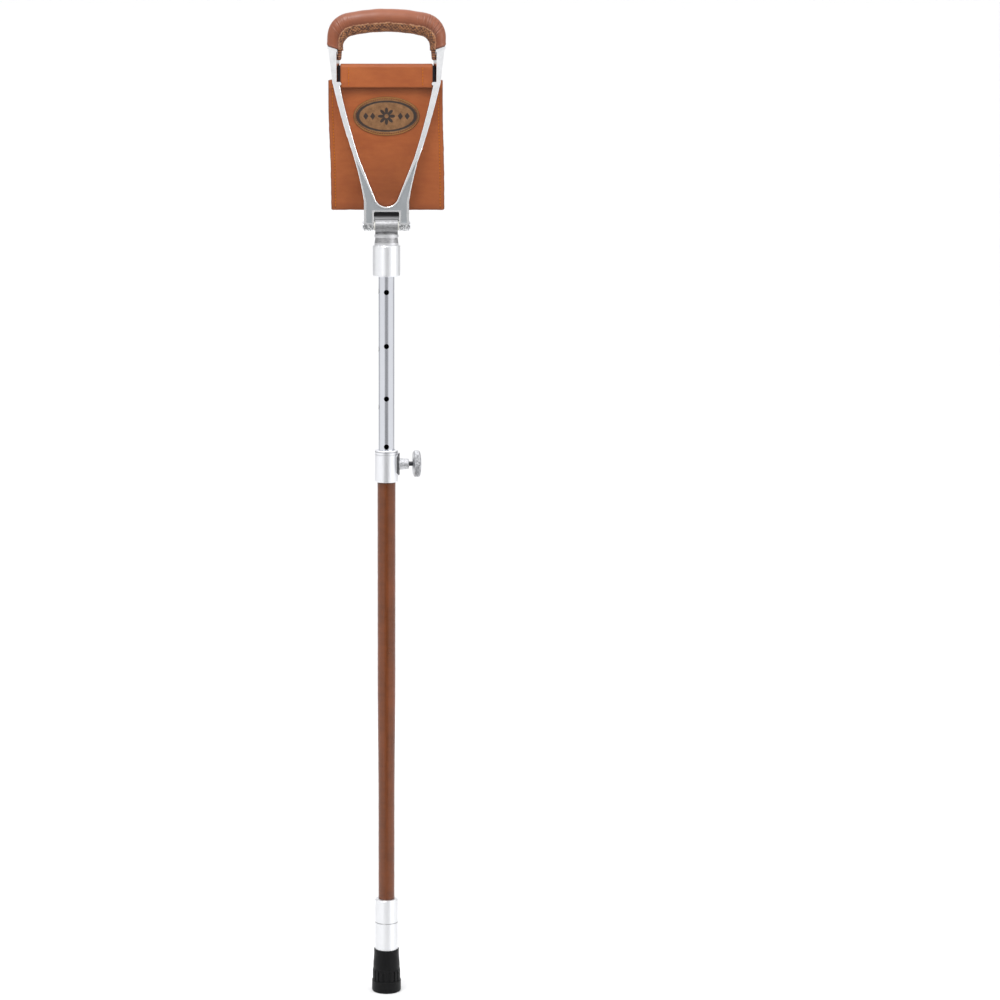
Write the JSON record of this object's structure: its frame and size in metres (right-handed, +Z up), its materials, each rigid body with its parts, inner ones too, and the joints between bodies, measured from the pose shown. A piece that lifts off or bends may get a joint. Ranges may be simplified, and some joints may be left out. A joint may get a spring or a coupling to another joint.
{
  "type": "walking stick seat",
  "caption": "Adjustable walking stick with a leather-covered shaft, whose two arched leather grips fold apart into a small sling seat.",
  "frame": {"origin": "centre of the foot's underside, on the ground", "axes": "+Z up along the stick, -Y towards the viewer of the patch, +X to that viewer's right, where the thumb screw is"},
  "size_m": [0.116, 0.0346, 1],
  "materials": {
    "black_rubber": "matt moulded rubber",
    "steel": "plain bright steel",
    "aluminium_core": "turned aluminium",
    "polished_metal": "polished aluminium",
    "brushed_metal": "drawn aluminium tube",
    "cast_metal": "polished aluminium casting",
    "knurled_metal": "knurled aluminium",
    "nylon": "natural nylon",
    "padding": "felt padding",
    "tan_leather": "smooth tan leather",
    "shaft_leather": "fine grained brown leather",
    "patch_leather": "pale suede patch"
  },
  "bodies": {
    "lower_shaft": {"rubber_foot": "black_rubber", "foot_washer": "steel", "foot_plug": "aluminium_core", "foot_ferrule": "polished_metal", "shaft_ferrule": "polished_metal", "lower_tube": "steel", "shaft_leather": "shaft_leather", "clamp_collar": "polished_metal", "collar_bush": "nylon", "collar_rivet": "steel", "threaded_insert": "steel"},
    "locking_pin": {"locking_pin": "steel"},
    "thumb_screw": {"thumb_screw": "steel", "thumb_knob": "knurled_metal"},
    "slide_bush": {"slide_bush": "nylon"},
    "upper_shaft": {"upper_tube": "brushed_metal", "end_plug": "aluminium_core", "upper_ferrule": "polished_metal", "ferrule_screw": "steel", "knuckle": "cast_metal", "front_pivot_pin": "steel", "rear_pivot_pin": "steel", "pivot_washers": "nylon"},
    "front_frame": {"front_frame": "cast_metal", "front_seat_bar": "steel", "front_grip_padding": "padding", "front_grip_leather": "tan_leather", "front_sling_loop": "tan_leather"},
    "front_sling": {"front_sling_half": "tan_leather", "seat_patch": "patch_leather"},
    "rear_frame": {"rear_frame": "cast_metal", "rear_seat_bar": "steel", "rear_grip_padding": "padding", "rear_grip_leather": "tan_leather", "rear_sling_loop": "tan_leather"},
    "rear_sling": {"rear_sling_half": "tan_leather"}
  },
  "joints": [
    {"name": "height_adjust", "type": "slide", "parent": "lower_shaft", "child": "slide_bush", "axis": [0, 0, 1], "range_m": [-0.174, 0]},
    {"name": "handle_swivel", "type": "hinge", "parent": "slide_bush", "child": "upper_shaft", "pos_m": [0, 0, 0.509], "axis": [0, 0, 1], "range_deg": [-180, 180]},
    {"name": "screw_travel", "type": "slide", "parent": "lower_shaft", "child": "locking_pin", "axis": [0.9945, 0.1045, 0], "range_m": [-0.0036, 0.003]},
    {"name": "screw_turn", "type": "hinge", "parent": "locking_pin", "child": "thumb_screw", "pos_m": [0, 0, 0.5484], "axis": [0.9945, 0.1045, 0], "range_deg": [-1620, 1350]},
    {"name": "front_fold", "type": "hinge", "parent": "upper_shaft", "child": "front_frame", "pos_m": [0, -0.0085, 0.788], "axis": [1, 0, 0], "range_deg": [0, 45]},
    {"name": "rear_fold", "type": "hinge", "parent": "upper_shaft", "child": "rear_frame", "pos_m": [0, 0.0085, 0.788], "axis": [-1, 0, 0], "range_deg": [0, 45]},
    {"name": "front_sling_hinge", "type": "hinge", "parent": "front_frame", "child": "front_sling", "pos_m": [0, -0.0052, 0.9232], "axis": [1, 0, 0], "range_deg": [0, 8.32]},
    {"name": "rear_sling_hinge", "type": "hinge", "parent": "rear_frame", "child": "rear_sling", "pos_m": [0, 0.0052, 0.9232], "axis": [-1, 0, 0], "range_deg": [0, 8.32]}
  ],
  "couplings": [
    {"joint": "screw_travel", "follows": "screw_turn", "m_per_rad": 0.00012732},
    {"joint": "rear_fold", "follows": "front_fold", "ratio": 1},
    {"joint": "front_sling_hinge", "follows": "front_fold", "ratio": 0.185},
    {"joint": "rear_sling_hinge", "follows": "front_fold", "ratio": 0.185}
  ]
}
